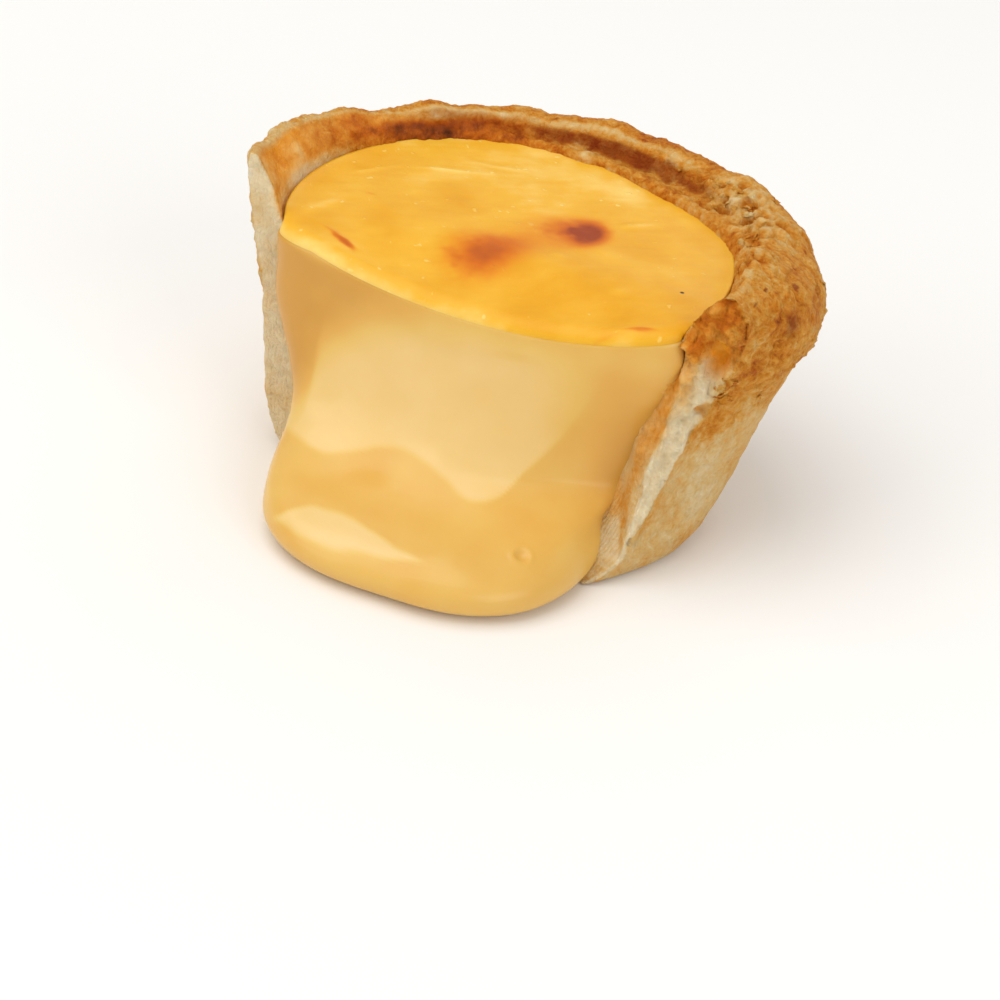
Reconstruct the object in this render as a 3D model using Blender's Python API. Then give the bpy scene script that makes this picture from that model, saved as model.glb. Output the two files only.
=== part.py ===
"""Egg tart, cut across in front of its middle and standing on its pastry base.

A puff pastry cup with an uneven, puffed rim holds soft custard under a set, browned skin.
The soft custard runs out of the cut face in one thick lobe that lies on the surface.
Metres, +Z up. The cut face looks along -Y, and the origin is the middle of the tart's
footprint box, on the surface that it stands on.
"""
import math

import bmesh
import bpy
from mathutils import Vector

MM = 0.001
GAP = 0.3 * MM

# The cut: a plane across the tart, in front of the cup's axis
CUT_OFFSET = 9.8 * MM

# Custard
CUSTARD_LEVEL = 32.6 * MM
SKIN_THICKNESS = 1.6 * MM
SAG_DEPTH = 2.6 * MM
SAG_MIDDLE_X = 2.5 * MM
SAG_HALF_WIDTH = 22.5 * MM
SAG_START = 1.0 * MM
SAG_LENGTH = 14.0 * MM

# Pastry cup's wall section. Each point is radius, height and the share of the outward
# bulge that it takes. It runs from the middle of the inside floor up the inner wall,
# over the crest, down the outer side and in along the base.
FLOOR_THICKNESS = 3.5
CREST_HEIGHT = 36.2
INNER_SECTION = (
    (0.0, FLOOR_THICKNESS, 0.0),
    (9.0, FLOOR_THICKNESS, 0.0),
    (17.5, 3.7, 0.0),
    (21.2, 5.6, 0.0),
    (22.6, 9.5, 0.0),
    (23.6, 16.5, 0.0),
    (25.4, 25.5, 0.0),
    (27.6, 32.4, 0.0),
    (28.7, 35.1, 0.05),
)
OUTER_SECTION = (
    (30.3, CREST_HEIGHT, 0.22),
    (31.9, 35.2, 0.65),
    (31.6, 31.5, 0.95),
    (30.3, 26.0, 1.0),
    (29.2, 16.0, 0.75),
    (27.9, 5.6, 0.52),
    (26.3, 1.5, 0.45),
    (23.8, 0.0, 0.4),
    (0.0, 0.0, 0.0),
)

# Unevenness round the cup: middle, reach clockwise, reach anticlockwise (degrees) and amount
WALL_BULGE = (15, 44, 86, 8.0 * MM)
RIM_LIFTS = (
    (202, 50, 60, 4.6 * MM),
    (165, 25, 25, 0.9 * MM),
    (5, 45, 60, 1.9 * MM),
)
RIM_LIFT_START = 31.0 * MM
# Ripples: waves round the cup, phase and amount
WALL_RIPPLES = ((6, 0.6, 0.35 * MM), (11, 2.1, 0.22 * MM))
RIM_RIPPLES = ((8, 1.1, 0.35 * MM), (13, 0.2, 0.22 * MM))

# The soft custard's lowest level inside the cup
CUP_BOTTOM = FLOOR_THICKNESS + 0.3

# Custard that has run out. Each point is height, reach in front of the cut, half its
# width and how far its middle lies to the right.
FLOW_SECTION = (
    (0.0, 22.3, 18.6, 1.2),
    (0.9, 24.7, 20.8, 1.2),
    (2.4, 25.6, 21.7, 1.2),
    (CUP_BOTTOM, 25.7, 21.8, 1.2),
    (5.8, 24.2, 21.6, 1.1),
    (7.0, 19.4, 21.2, 1.0),
    (7.9, 13.0, 20.9, 0.9),
    (9.2, 8.2, 20.7, 0.7),
    (12.2, 5.6, 20.7, 0.4),
    (17.0, 4.9, 21.6, 0.2),
    (23.0, 4.9, 23.2, 0.0),
    (28.0, 5.1, 24.3, 0.0),
    (30.7, 5.0, 24.8, 0.0),
)
FLOW_SQUARENESS = 2.9
TOP_BLEND_START = 20.0 * MM
TOP_FRONT_REACH = 5.0 * MM

CUP_SEGMENTS = 80
SECTION_STEPS = 2
FLOW_STEPS = 2
FRONT_POINTS = 26
BACK_POINTS = 36
CAP_RINGS = 6
CAP_MIDDLE_Y = 3.42 * MM
LAST_RING_SHARE = 0.5
MERGE_DISTANCE = 0.005 * MM

MATERIALS = {
    "pastry_crust": ((0.72, 0.47, 0.22), 0.62),
    "custard_filling": ((0.92, 0.74, 0.36), 0.22),
    "custard_top": ((0.93, 0.56, 0.08), 0.25),
}


def smoothstep(value):
    """0 below 0, 1 above 1, and a smooth rise between."""
    held = min(max(value, 0.0), 1.0)
    return held * held * (3.0 - 2.0 * held)


def smooth_through(points, steps):
    """Points on one smooth curve through the given ones, with steps to each stretch."""
    vectors = [Vector(point) for point in points]
    curve = []
    for index in range(len(vectors) - 1):
        before = vectors[max(index - 1, 0)]
        start = vectors[index]
        end = vectors[index + 1]
        after = vectors[min(index + 2, len(vectors) - 1)]
        for step in range(steps):
            t = step / steps
            leave = (end - before) * 0.5
            arrive = (after - start) * 0.5
            curve.append(
                start * (2 * t**3 - 3 * t**2 + 1)
                + leave * (t**3 - 2 * t**2 + t)
                + end * (3 * t**2 - 2 * t**3)
                + arrive * (t**3 - t**2)
            )
    curve.append(vectors[-1])
    return curve


def cup_section():
    """The wall's section in metres: radius, height and share of the bulge."""
    points = smooth_through(INNER_SECTION + OUTER_SECTION, SECTION_STEPS)
    return [(max(p[0], 0.0) * MM, max(p[1], 0.0) * MM, p[2]) for p in points]


def inner_radius(height):
    """Radius of the cup's inner wall at a height."""
    wall = cup_section()[1 : SECTION_STEPS * (len(INNER_SECTION) - 1) + 1]
    for low, high in zip(wall, wall[1:]):
        if low[1] <= height <= high[1]:
            share = (height - low[1]) / (high[1] - low[1])
            return low[0] + share * (high[0] - low[0])
    return wall[-1][0] if height > wall[-1][1] else wall[0][0]


def round_bump(angle, middle, reach_clockwise, reach_anticlockwise, amount):
    """A smooth bump round the cup, highest at its middle angle."""
    away = (math.degrees(angle) - middle + 180.0) % 360.0 - 180.0
    reach = reach_anticlockwise if away > 0 else reach_clockwise
    if abs(away) >= reach:
        return 0.0
    return amount * 0.5 * (1.0 + math.cos(math.pi * away / reach))


def ripple(angle, waves):
    """Small waves that close up round the cup."""
    return sum(amount * math.sin(count * angle + phase) for count, phase, amount in waves)


def cup_point(angle, radius, height, share):
    """A point of the cup's section, turned to an angle and made uneven."""
    outward = share * (round_bump(angle, *WALL_BULGE) + ripple(angle, WALL_RIPPLES))
    crest_share = (height - RIM_LIFT_START) / (CREST_HEIGHT * MM - RIM_LIFT_START)
    lift = sum(round_bump(angle, *bump) for bump in RIM_LIFTS) + ripple(angle, RIM_RIPPLES)
    uneven_radius = radius + outward
    uneven_height = height + smoothstep(crest_share) * lift
    return (uneven_radius * math.cos(angle), uneven_radius * math.sin(angle), uneven_height)


def sag(x, y):
    """How far the custard's top sinks where it leans out over the cut."""
    forward = smoothstep((-y - SAG_START) / SAG_LENGTH)
    across = max(0.0, 1.0 - ((x - SAG_MIDDLE_X) / SAG_HALF_WIDTH) ** 2)
    return SAG_DEPTH * forward * across


def front_curve(reach, half_width, middle_x):
    """The rounded outline in front of the cut, from its right end to its left."""
    power = 2.0 / FLOW_SQUARENESS
    points = []
    for index in range(FRONT_POINTS):
        turn = math.pi * index / (FRONT_POINTS - 1)
        side = math.copysign(abs(math.cos(turn)) ** power, math.cos(turn))
        forward = abs(math.sin(turn)) ** power
        points.append((middle_x + half_width * side, -CUT_OFFSET - GAP - reach * forward))
    return points


def arc_inside_cup(radius):
    """The outline inside the cup, from the left end of the cut round the back to the right."""
    plane = CUT_OFFSET + GAP
    end = math.asin(plane / radius)
    start_angle = math.pi + end
    sweep = math.pi + 2.0 * end
    points = []
    for index in range(BACK_POINTS):
        angle = start_angle - sweep * index / (BACK_POINTS - 1)
        points.append((radius * math.cos(angle), radius * math.sin(angle)))
    return points


def straight_back(radius):
    """The outline below the cup's floor: straight along the cut, as wide as the opening."""
    plane = CUT_OFFSET + GAP
    corner = math.sqrt(radius**2 - plane**2)
    spacing = 2.0 * corner / (BACK_POINTS - 1)
    return [(index * spacing - corner, -plane) for index in range(BACK_POINTS)]


def cap_rings(outline, height):
    """Rings that close an outline at its sagging top, from its edge to its middle."""
    middle = Vector((0.0, CAP_MIDDLE_Y))
    rings = []
    for ring in range(CAP_RINGS + 1):
        share = 1.0 - ring / (CAP_RINGS + LAST_RING_SHARE)
        points = [middle + share * (Vector(point) - middle) for point in outline]
        rings.append([(p.x, p.y, height - sag(p.x, p.y)) for p in points])
    return rings


def mesh_from_rings(name, rings):
    """A closed mesh over rings of equal length, with a flat face on the first and last.

    Where two rings share points, the shared stretch is one line."""
    mesh = bpy.data.meshes.new(name)
    builder = bmesh.new()
    ring_verts = [[builder.verts.new(point) for point in ring] for ring in rings]
    count = len(rings[0])
    for low, high in zip(ring_verts, ring_verts[1:]):
        for index in range(count):
            following = (index + 1) % count
            builder.faces.new((low[index], low[following], high[following], high[index]))
    builder.faces.new(list(reversed(ring_verts[0])))
    builder.faces.new(ring_verts[-1])
    bmesh.ops.remove_doubles(builder, verts=builder.verts, dist=MERGE_DISTANCE)
    bmesh.ops.recalc_face_normals(builder, faces=builder.faces)
    builder.to_mesh(mesh)
    builder.free()
    mesh.shade_smooth()
    mesh.set_sharp_from_angle(angle=math.radians(40))
    return mesh


def make_material(name, color, roughness):
    material = bpy.data.materials.new(name)
    material.use_nodes = True
    shader = material.node_tree.nodes["Principled BSDF"]
    shader.inputs["Base Color"].default_value = (*color, 1.0)
    shader.inputs["Roughness"].default_value = roughness
    shader.inputs["Metallic"].default_value = 0.0
    return material


def add_part(name, mesh, collection, origin):
    """One named sub-part with its own material, carried by the origin empty."""
    part = bpy.data.objects.new(name, mesh)
    part.parent = origin
    collection.objects.link(part)
    mesh.materials.append(make_material(name, *MATERIALS[name]))
    return part


def make_cut_block(collection, origin):
    """The block that takes away everything in front of the cut."""
    size = 4.0 * CUSTARD_LEVEL
    bpy.ops.mesh.primitive_cube_add(size=size, location=(0, -CUT_OFFSET - size / 2, 0))
    block = bpy.context.object
    block.name = "cut_block"
    block.parent = origin
    block.hide_render = True
    block.display_type = "WIRE"
    for holder in list(block.users_collection):
        holder.objects.unlink(block)
    collection.objects.link(block)
    return block


def make_crust(collection, cutters, origin):
    """The pastry cup, turned round its axis and cut flat across the front."""
    section = cup_section()[1:-1]
    turn = 2.0 * math.pi / CUP_SEGMENTS
    rings = [
        [cup_point(index * turn, *point) for index in range(CUP_SEGMENTS)] for point in section
    ]
    crust = add_part("pastry_crust", mesh_from_rings("pastry_crust", rings), collection, origin)
    cut = crust.modifiers.new("cut", "BOOLEAN")
    cut.operation = "DIFFERENCE"
    cut.solver = "EXACT"
    cut.object = make_cut_block(cutters, origin)
    return crust


def make_filling(collection, origin):
    """Soft custard: a lobe on the surface, joined to what still fills the cup."""
    cup_bottom = CUP_BOTTOM * MM
    top = CUSTARD_LEVEL - SKIN_THICKNESS - GAP
    rings = []
    for point in smooth_through(FLOW_SECTION, FLOW_STEPS):
        height, reach, half_width, middle_x = (value * MM for value in point)
        front = front_curve(reach, half_width, middle_x)
        outlines = []
        if height < cup_bottom + MERGE_DISTANCE:
            outlines.append(front + straight_back(inner_radius(cup_bottom) - GAP))
        if height > cup_bottom - MERGE_DISTANCE:
            outlines.append(front + arc_inside_cup(inner_radius(height) - GAP))
        blend = smoothstep((height - TOP_BLEND_START) / (top - TOP_BLEND_START))
        for outline in outlines:
            rings.append([(x, y, height - blend * sag(x, y)) for x, y in outline])
    rings.extend(cap_rings(outlines[-1], top)[1:])
    return add_part(
        "custard_filling", mesh_from_rings("custard_filling", rings), collection, origin
    )


def make_skin(collection, origin):
    """The set, browned layer on top, which leans out over the cut with the soft custard."""
    underside = CUSTARD_LEVEL - SKIN_THICKNESS
    radius = inner_radius(underside) - GAP
    back = arc_inside_cup(radius)
    half_width = back[-1][0]
    outline = front_curve(TOP_FRONT_REACH, half_width, 0.0)[1:-1] + back
    below = cap_rings(outline, underside)
    above = cap_rings(outline, CUSTARD_LEVEL)
    rings = list(reversed(below)) + above
    return add_part("custard_top", mesh_from_rings("custard_top", rings), collection, origin)


def centre_on_footprint(origin, parts):
    """Move the whole tart so that its box stands centred on the world's origin."""
    bpy.context.view_layer.update()
    graph = bpy.context.evaluated_depsgraph_get()
    corners = []
    for part in parts:
        shape = part.evaluated_get(graph)
        corners.extend(part.matrix_world @ vert.co for vert in shape.data.vertices)
    for axis in (0, 1):
        values = [corner[axis] for corner in corners]
        origin.location[axis] = -0.5 * (min(values) + max(values))
    origin.location[2] = -min(corner[2] for corner in corners)
    bpy.context.view_layer.update()


def main():
    for leftover in list(bpy.data.objects):
        bpy.data.objects.remove(leftover)
    collection = bpy.data.collections.new("egg_tart")
    cutters = bpy.data.collections.new("cutters")
    for made in (collection, cutters):
        bpy.context.scene.collection.children.link(made)
    origin = bpy.data.objects.new("tart_origin", None)
    collection.objects.link(origin)
    parts = [
        make_crust(collection, cutters, origin),
        make_filling(collection, origin),
        make_skin(collection, origin),
    ]
    centre_on_footprint(origin, parts)


main()
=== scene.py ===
import math

import bpy
import numpy as np
from mathutils import Matrix, Vector


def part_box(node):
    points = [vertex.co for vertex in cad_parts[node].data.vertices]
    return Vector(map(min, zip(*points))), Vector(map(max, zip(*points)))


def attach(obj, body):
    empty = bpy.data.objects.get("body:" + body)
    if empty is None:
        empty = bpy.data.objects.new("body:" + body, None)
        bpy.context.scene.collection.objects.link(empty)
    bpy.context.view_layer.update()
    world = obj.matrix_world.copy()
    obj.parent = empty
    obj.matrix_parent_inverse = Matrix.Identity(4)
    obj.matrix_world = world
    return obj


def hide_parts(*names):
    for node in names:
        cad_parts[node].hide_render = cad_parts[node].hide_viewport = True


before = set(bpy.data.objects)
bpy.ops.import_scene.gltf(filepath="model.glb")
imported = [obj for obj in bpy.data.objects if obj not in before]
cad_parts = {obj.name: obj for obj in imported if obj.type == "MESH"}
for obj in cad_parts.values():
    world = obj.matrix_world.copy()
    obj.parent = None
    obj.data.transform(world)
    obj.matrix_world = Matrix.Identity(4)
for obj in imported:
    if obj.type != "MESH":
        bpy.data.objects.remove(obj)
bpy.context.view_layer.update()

mm = 0.001

# Where the tart stands: its axis, its custard's edge and its cut, all read from the frame
topLow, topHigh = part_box("custard_top")
crustLow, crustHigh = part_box("pastry_crust")
flowLow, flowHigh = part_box("custard_filling")
custardRadius = (topHigh.x - topLow.x) / 2 + 0.7 * mm
axisX = (topLow.x + topHigh.x) / 2
axisY = topHigh.y - (topHigh.x - topLow.x) / 2
cutY = crustLow.y
level = topHigh.z
cutBack = axisY - cutY
print("frame: axis", round(axisX / mm, 2), round(axisY / mm, 2), "cut", round(cutBack / mm, 2), "level", round(level / mm, 2))


def smooth(value, low=0.0, high=1.0):
    t = np.clip((value - low) / (high - low), 0.0, 1.0)
    return t * t * (3.0 - 2.0 * t)


def hump(value, middle, reach):
    # 1 at the middle, 0 past the reach, smooth between
    t = np.clip(np.abs(value - middle) / reach, 0.0, 1.0)
    return 0.5 * (1.0 + np.cos(np.pi * t))


def turnAway(angle, middle):
    # degrees from a middle angle, between -180 and 180
    return (angle - middle + 180.0) % 360.0 - 180.0


def arcHump(angle, middle, reachDown, reachUp):
    away = turnAway(angle, middle)
    reach = np.where(away > 0, reachUp, reachDown)
    t = np.clip(np.abs(away) / reach, 0.0, 1.0)
    return 0.5 * (1.0 + np.cos(np.pi * t))


randomTable = np.random.default_rng(11).uniform(-1.0, 1.0, 4096)


def lumps(points, size, seed=0):
    # smooth noise, -1 to 1, in lumps about one size across
    grid = np.asarray(points) / size + 17.3 * (seed + 1)
    low = np.floor(grid).astype(np.int64)
    part = grid - low
    part = part ** 3 * (part * (part * 6 - 15) + 10)
    total = np.zeros(len(grid))
    for corner in range(8):
        bits = np.array([corner & 1, corner >> 1 & 1, corner >> 2 & 1])
        cell = low + bits
        mixed = cell[:, 0] * 73856093 ^ cell[:, 1] * 19349663 ^ cell[:, 2] * 83492791
        weight = np.prod(np.where(bits, part, 1.0 - part), axis=1)
        total += weight * randomTable[(mixed + seed * 7919) % 4096]
    return total


def crumbs(points, size, seed=0, layers=3):
    # lumps on lumps, each half the size
    total, share = 0.0, 1.0
    for layer in range(layers):
        total = total + share * lumps(points, size / 2 ** layer, seed + layer * 5)
        share *= 0.55
    return total


def smoothThrough(points, steps):
    # points on one smooth curve through the given ones
    pts = np.array(points, float)
    curve = []
    for i in range(len(pts) - 1):
        p0, p1, p2, p3 = pts[max(i - 1, 0)], pts[i], pts[i + 1], pts[min(i + 2, len(pts) - 1)]
        for step in range(steps):
            t = step / steps
            leave, arrive = (p2 - p0) / 2, (p3 - p1) / 2
            curve.append(p1 * (2 * t**3 - 3 * t**2 + 1) + leave * (t**3 - 2 * t**2 + t)
                         + p2 * (3 * t**2 - 2 * t**3) + arrive * (t**3 - t**2))
    curve.append(pts[-1])
    return np.array(curve)


def readPoints(piece):
    points = np.zeros(len(piece.data.vertices) * 3)
    piece.data.vertices.foreach_get("co", points)
    return points.reshape(-1, 3)


def writePoints(piece, points):
    piece.data.vertices.foreach_set("co", np.ascontiguousarray(points, dtype=np.float64).ravel())
    piece.data.update()


def readNormals(piece):
    normals = np.zeros(len(piece.data.vertices) * 3, np.float32)
    piece.data.vertices.foreach_get("normal", normals)
    return normals.reshape(-1, 3).astype(float)


def around(points):
    # angle in degrees, radius and height about the tart's own axis
    x, y = points[:, 0] - axisX, points[:, 1] - axisY
    return np.degrees(np.arctan2(y, x)) % 360.0, np.hypot(x, y), points[:, 2].copy()


def fromAround(angle, radius, height):
    turn = np.radians(angle)
    return np.stack([axisX + radius * np.cos(turn), axisY + radius * np.sin(turn), height], axis=1)


def paintPoints(piece, name, values):
    layer = piece.data.attributes.new(name, "FLOAT", "POINT")
    layer.data.foreach_set("value", np.clip(values, 0.0, 1.0).astype(np.float32))


def readPainted(piece, name):
    values = np.zeros(len(piece.data.vertices), np.float32)
    piece.data.attributes[name].data.foreach_get("value", values)
    return values


def pickOnly(piece):
    bpy.ops.object.select_all(action="DESELECT")
    piece.select_set(True)
    bpy.context.view_layer.objects.active = piece


def editMode(piece):
    pickOnly(piece)
    bpy.ops.object.mode_set(mode="EDIT")


def objectMode():
    bpy.ops.object.mode_set(mode="OBJECT")


def addModifier(piece, kind, **settings):
    modifier = piece.modifiers.new(kind.title(), kind)
    for setting, value in settings.items():
        setattr(modifier, setting, value)
    return modifier


def applyModifiers(piece):
    pickOnly(piece)
    for modifier in list(piece.modifiers):
        bpy.ops.object.modifier_apply(modifier=modifier.name)


def settle(piece, name):
    # the finished piece: named, smooth, with its place in its mesh
    pickOnly(piece)
    bpy.ops.object.transform_apply(location=True, rotation=True, scale=True)
    piece.name = name
    piece.data.name = name
    bpy.ops.object.shade_smooth()


def tint(code):
    # a colour as a person mixes it, such as "E8B45A", turned linear
    parts = [int(code[i:i + 2], 16) / 255 for i in (0, 2, 4)]
    return tuple(p / 12.92 if p <= 0.04045 else ((p + 0.055) / 1.055) ** 2.4 for p in parts) + (1.0,)


class Wire:
    # one socket's value, so that shader maths reads as plain maths
    def __init__(self, finish, socket):
        self.finish = finish
        self.socket = socket

    def maths(self, operation, *values, clamp=False):
        return self.finish.node("ShaderNodeMath", {"operation": operation, "use_clamp": clamp},
                                dict(enumerate(values)))

    def __add__(self, other):
        return self.maths("ADD", self, other)

    def __radd__(self, other):
        return self.maths("ADD", other, self)

    def __sub__(self, other):
        return self.maths("SUBTRACT", self, other)

    def __rsub__(self, other):
        return self.maths("SUBTRACT", other, self)

    def __mul__(self, other):
        return self.maths("MULTIPLY", self, other)

    def __rmul__(self, other):
        return self.maths("MULTIPLY", other, self)

    def __truediv__(self, other):
        return self.maths("DIVIDE", self, other)

    def __pow__(self, other):
        return self.maths("POWER", self, other)

    def __neg__(self):
        return self.maths("MULTIPLY", self, -1.0)

    def sine(self):
        return self.maths("SINE", self)

    def held(self):
        return self.maths("ADD", self, 0.0, clamp=True)

    def least(self, other):
        return self.maths("MINIMUM", self, other)

    def most(self, other):
        return self.maths("MAXIMUM", self, other)


class Finish:
    # a material whose nodes are added by expressions
    def __init__(self, name):
        self.material = bpy.data.materials.new(name)
        self.material.use_nodes = True
        self.tree = self.material.node_tree
        self.tree.nodes.clear()
        self.output = self.tree.nodes.new("ShaderNodeOutputMaterial")

    def node(self, kind, settings=None, values=None, out=0):
        made = self.tree.nodes.new(kind)
        for setting, value in (settings or {}).items():
            if setting == "stops":
                ramp = made.color_ramp
                while len(ramp.elements) < len(value):
                    ramp.elements.new(0.5)
                for element, (place, color) in zip(ramp.elements, value):
                    element.position = place
                    element.color = color
            else:
                setattr(made, setting, value)
        for key, value in (values or {}).items():
            if isinstance(value, Wire):
                self.tree.links.new(value.socket, made.inputs[key])
            else:
                made.inputs[key].default_value = value
        return Wire(self, made.outputs[out])

    def place(self, offset=(0, 0, 0), turn=(0, 0, 0), scale=(1, 1, 1)):
        spot = self.node("ShaderNodeTexCoord", out=3)
        return self.node("ShaderNodeMapping", {"vector_type": "TEXTURE"},
                         {"Vector": spot, "Location": offset, "Rotation": turn, "Scale": scale})

    def painted(self, name):
        return self.node("ShaderNodeAttribute", {"attribute_name": name}, out=2)

    def noise(self, where, scale, detail=3.0, rough=0.5, warp=0.0):
        return self.node("ShaderNodeTexNoise", None,
                         {"Vector": where, "Scale": scale, "Detail": detail, "Roughness": rough,
                          "Distortion": warp})

    def band(self, value, low, high):
        # 0 below low, 1 above high, smooth between
        return self.node("ShaderNodeMapRange", {"interpolation_type": "SMOOTHSTEP", "clamp": True},
                         {"Value": value, "From Min": low, "From Max": high})

    def ramp(self, value, stops):
        return self.node("ShaderNodeValToRGB", {"stops": [(at, tint(code)) for at, code in stops]},
                         {"Fac": value})

    def blend(self, share, first, second, mode="MIX"):
        made = self.node("ShaderNodeMix", {"data_type": "RGBA", "blend_type": mode, "clamp_factor": True},
                         {0: share, 6: first, 7: second}, out=2)
        return made

    def bump(self, height, strength, distance, under=None):
        values = {"Height": height, "Strength": strength, "Distance": distance}
        if under is not None:
            values["Normal"] = under
        return self.node("ShaderNodeBump", None, values)

    def shade(self, constants, links):
        shader = self.node("ShaderNodeBsdfPrincipled", None, {**constants, **links})
        self.tree.links.new(shader.socket, self.output.inputs["Surface"])
        return self.material


def dress(piece, material, slotName, *nodes):
    piece.data.materials.clear()
    piece.data.materials.append(material)
    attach(piece, "root")
    if nodes:
        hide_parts(*nodes)


camera = {
    "target": (0.0, 7.58, 17.06),   # mm from the tart's axis
    "azimuth": 16.7,
    "elevation": 28.6,
    "distance": 331.8,
    "roll": 8.0,
    "lens": 93.9,
    "slide": (1.01, -22.45),        # mm to the right and up, so the tart stands high in the frame
}


def makeCamera():
    azimuth, elevation = math.radians(camera["azimuth"]), math.radians(camera["elevation"])
    back = Vector((math.sin(azimuth) * math.cos(elevation),
                   -math.cos(azimuth) * math.cos(elevation), math.sin(elevation)))
    right = Vector((math.cos(azimuth), math.sin(azimuth), 0.0))
    up = back.cross(right)
    target = Vector((axisX, axisY, 0.0)) + Vector(camera["target"]) * mm
    spot = target + back * camera["distance"] * mm
    aim = target + (right * camera["slide"][0] + up * camera["slide"][1]) * mm
    lens = bpy.data.cameras.new("tableCamera")
    eye = bpy.data.objects.new("tableCamera", lens)
    bpy.context.scene.collection.objects.link(eye)
    lens.lens = camera["lens"]
    lens.sensor_width = 36.0
    lens.clip_start, lens.clip_end = 0.02, 20.0
    look = (aim - spot).to_track_quat("-Z", "Y").to_matrix().to_4x4()
    eye.matrix_world = Matrix.Translation(spot) @ look @ Matrix.Rotation(math.radians(camera["roll"]), 4, "Z")
    bpy.context.scene.camera = eye


studio = {
    "floorSize": 6.0,
    "floorColor": "F6F5F2",
    "worldColor": "FFFFFF",
    "worldStrength": 0.52,
    "softboxes": (
        # name, place and size in m, power in W, colour
        ("overhead", (-0.25, -0.15, 0.8), (0.8, 0.8), 3.75, "FFFDFA"),
        ("frontLeft", (-0.7, -0.75, 0.5), (0.7, 0.7), 2.4, "FFFDFA"),
        ("right", (0.7, -0.42, 0.42), (0.6, 0.6), 2.1, "FFFDFA"),
        ("back", (0.1, 0.8, 0.5), (0.6, 0.6), 1.0, "FFFFFF"),
    ),
}


def makeStudio():
    bpy.ops.mesh.primitive_grid_add(x_subdivisions=4, y_subdivisions=4, size=studio["floorSize"], location=(0, 0, 0))
    floor = bpy.context.object
    floor.name = "tableTop"
    finish = Finish("paleTable")
    cloudy = finish.noise(finish.place(), 3.0, detail=2.0)
    color = finish.blend(cloudy, tint(studio["floorColor"]), tint("F7F6F4"))
    floor.data.materials.append(finish.shade({"Roughness": 0.6, "Specular IOR Level": 0.2}, {"Base Color": color}))
    for name, spot, size, power, color in studio["softboxes"]:
        light = bpy.data.lights.new(name, "AREA")
        light.shape = "RECTANGLE"
        light.size, light.size_y = size
        light.energy = power
        light.color = tint(color)[:3]
        lamp = bpy.data.objects.new(name, light)
        bpy.context.scene.collection.objects.link(lamp)
        lamp.location = spot
        lamp.rotation_euler = (Vector((0, 0, 0.02)) - Vector(spot)).to_track_quat("-Z", "Y").to_euler()
    world = bpy.data.worlds.new("paleRoom")
    bpy.context.scene.world = world
    world.use_nodes = True
    sky = world.node_tree.nodes["Background"]
    sky.inputs["Color"].default_value = tint(studio["worldColor"])
    sky.inputs["Strength"].default_value = studio["worldStrength"]
    bpy.context.scene.view_settings.view_transform = "Standard"


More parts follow.
